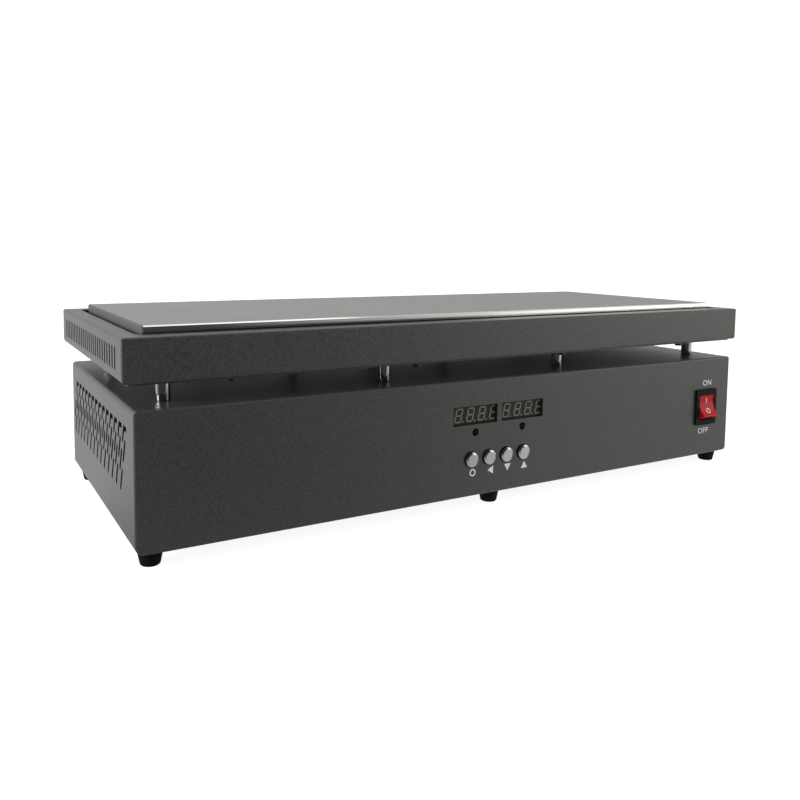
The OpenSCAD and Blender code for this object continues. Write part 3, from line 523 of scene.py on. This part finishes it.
FLOOR_SIZE = 8.0
FLOOR_GREY = 0.35
FLOOR_GREY_IN_MIRRORS = 0.02
# Closer to the object than about this, the floor counts as the white side all round
FLOOR_NEAR = 0.25


def floor_material():
    """White floor that keeps the shadow and is clear from below."""
    mat = bpy.data.materials.new("stage_floor")
    tree = empty_tree(mat)
    matte = tree.nodes.new("ShaderNodeBsdfDiffuse")
    grey = spread(tree, mirror_ray(tree), FLOOR_GREY, FLOOR_GREY_IN_MIRRORS, 0, 1)
    tree.links.new(grey, matte.inputs["Color"])

    place = tree.nodes.new("ShaderNodeNewGeometry")
    where = place.outputs["Position"]
    away = combine(tree, "ADD", measure(tree, "LENGTH", where), FLOOR_NEAR)
    depth = combine(tree, "DIVIDE", measure(tree, "DOT_PRODUCT", where, FAR_SIDE), away)
    level = background(tree, depth, dark_to=-0.6, white_from=-0.2, seen=0.9, mirrored=0.92, fill=0.0)
    glow = tree.nodes.new("ShaderNodeEmission")
    tree.links.new(level, glow.inputs["Strength"])
    lit = tree.nodes.new("ShaderNodeAddShader")
    tree.links.new(matte.outputs["BSDF"], lit.inputs[0])
    tree.links.new(glow.outputs["Emission"], lit.inputs[1])

    clear = tree.nodes.new("ShaderNodeBsdfTransparent")
    sides = tree.nodes.new("ShaderNodeMixShader")
    tree.links.new(place.outputs["Backfacing"], sides.inputs["Fac"])
    tree.links.new(lit.outputs["Shader"], sides.inputs[1])
    tree.links.new(clear.outputs["BSDF"], sides.inputs[2])
    out = tree.nodes.new("ShaderNodeOutputMaterial")
    tree.links.new(sides.outputs["Shader"], out.inputs["Surface"])
    return mat


floor_mesh = bpy.data.meshes.new("stage_floor")
corners = [(*corner, 0) for corner in rect(0, 0, FLOOR_SIZE, FLOOR_SIZE)]
floor_mesh.from_pydata(corners, [], [(0, 1, 2, 3)])
floor_mesh.materials.append(floor_material())
floor = add_object("stage_floor", floor_mesh)

world = bpy.data.worlds.new("studio")
bpy.context.scene.world = world
tree = empty_tree(world)
world_out = tree.nodes.new("ShaderNodeOutputWorld")
sky = tree.nodes.new("ShaderNodeBackground")
sky.inputs["Color"].default_value = (1, 1, 1, 1)
heading = tree.nodes.new("ShaderNodeTexCoord")
depth = measure(tree, "DOT_PRODUCT", heading.outputs["Generated"], FAR_SIDE)
level = background(tree, depth, dark_to=-0.45, white_from=-0.1, seen=1.0, mirrored=0.83, fill=0.82)
tree.links.new(level, sky.inputs["Strength"])
tree.links.new(sky.outputs["Background"], world_out.inputs["Surface"])


def lamp(name, place, target, size, power, colour=(1, 1, 1)):
    """Soft lamp turned to a target."""
    data = bpy.data.lights.new(name, "AREA")
    data.shape = "RECTANGLE"
    data.size, data.size_y = size
    data.energy = power
    data.color = colour
    obj = add_object(name, data)
    obj.location = place
    obj.rotation_euler = (Vector(target) - Vector(place)).to_track_quat("-Z", "Y").to_euler()


lamp("left_side", place=(-1.6, 0.05, 0.4), target=(-0.2, 0, 0.08), size=(0.5, 0.6), power=19.0,
     colour=(0.985, 0.975, 1.0))
lamp("top", place=(0.2, -0.25, 1.5), target=(0, -0.1, 0.1), size=(0.5, 0.9), power=1.8)
lamp("top_back", place=(-0.2, 0.7, 1.3), target=(0, 0, 0.1), size=(1.4, 0.8), power=2.1)
lamp("right_front", place=(1.33, -1.08, 0.45), target=(0.2, -0.1, 0.1), size=(0.9, 0.9), power=4.2,
     colour=(1.0, 0.97, 0.86))

# Camera fitted to the photo's edges
CAM_AT = (-0.356512, -0.551267, 0.189525)
YAW, PITCH, ROLL = math.radians(29.5207), math.radians(4.6071), math.radians(0.5839)
SENSOR_MM = 36.0
LENS_MM = 35.169
SHIFT_RIGHT = 0.03377
SHIFT_UP = -0.11473
forward = Vector((math.sin(YAW) * math.cos(PITCH), math.cos(YAW) * math.cos(PITCH), -math.sin(PITCH)))
level_right = Vector((math.cos(YAW), -math.sin(YAW), 0))
level_up = level_right.cross(forward)
right = level_right * math.cos(ROLL) + level_up * math.sin(ROLL)
up = level_up * math.cos(ROLL) - level_right * math.sin(ROLL)
cam_data = bpy.data.cameras.new("camera")
cam_data.sensor_width = SENSOR_MM
cam_data.lens = LENS_MM
cam_data.shift_x = SHIFT_RIGHT
cam_data.shift_y = SHIFT_UP
cam = add_object("camera", cam_data)
cam.matrix_world = Matrix.Translation(CAM_AT) @ Matrix((right, up, -forward)).transposed().to_4x4()
bpy.context.scene.camera = cam
bpy.context.scene.view_settings.view_transform = "Standard"
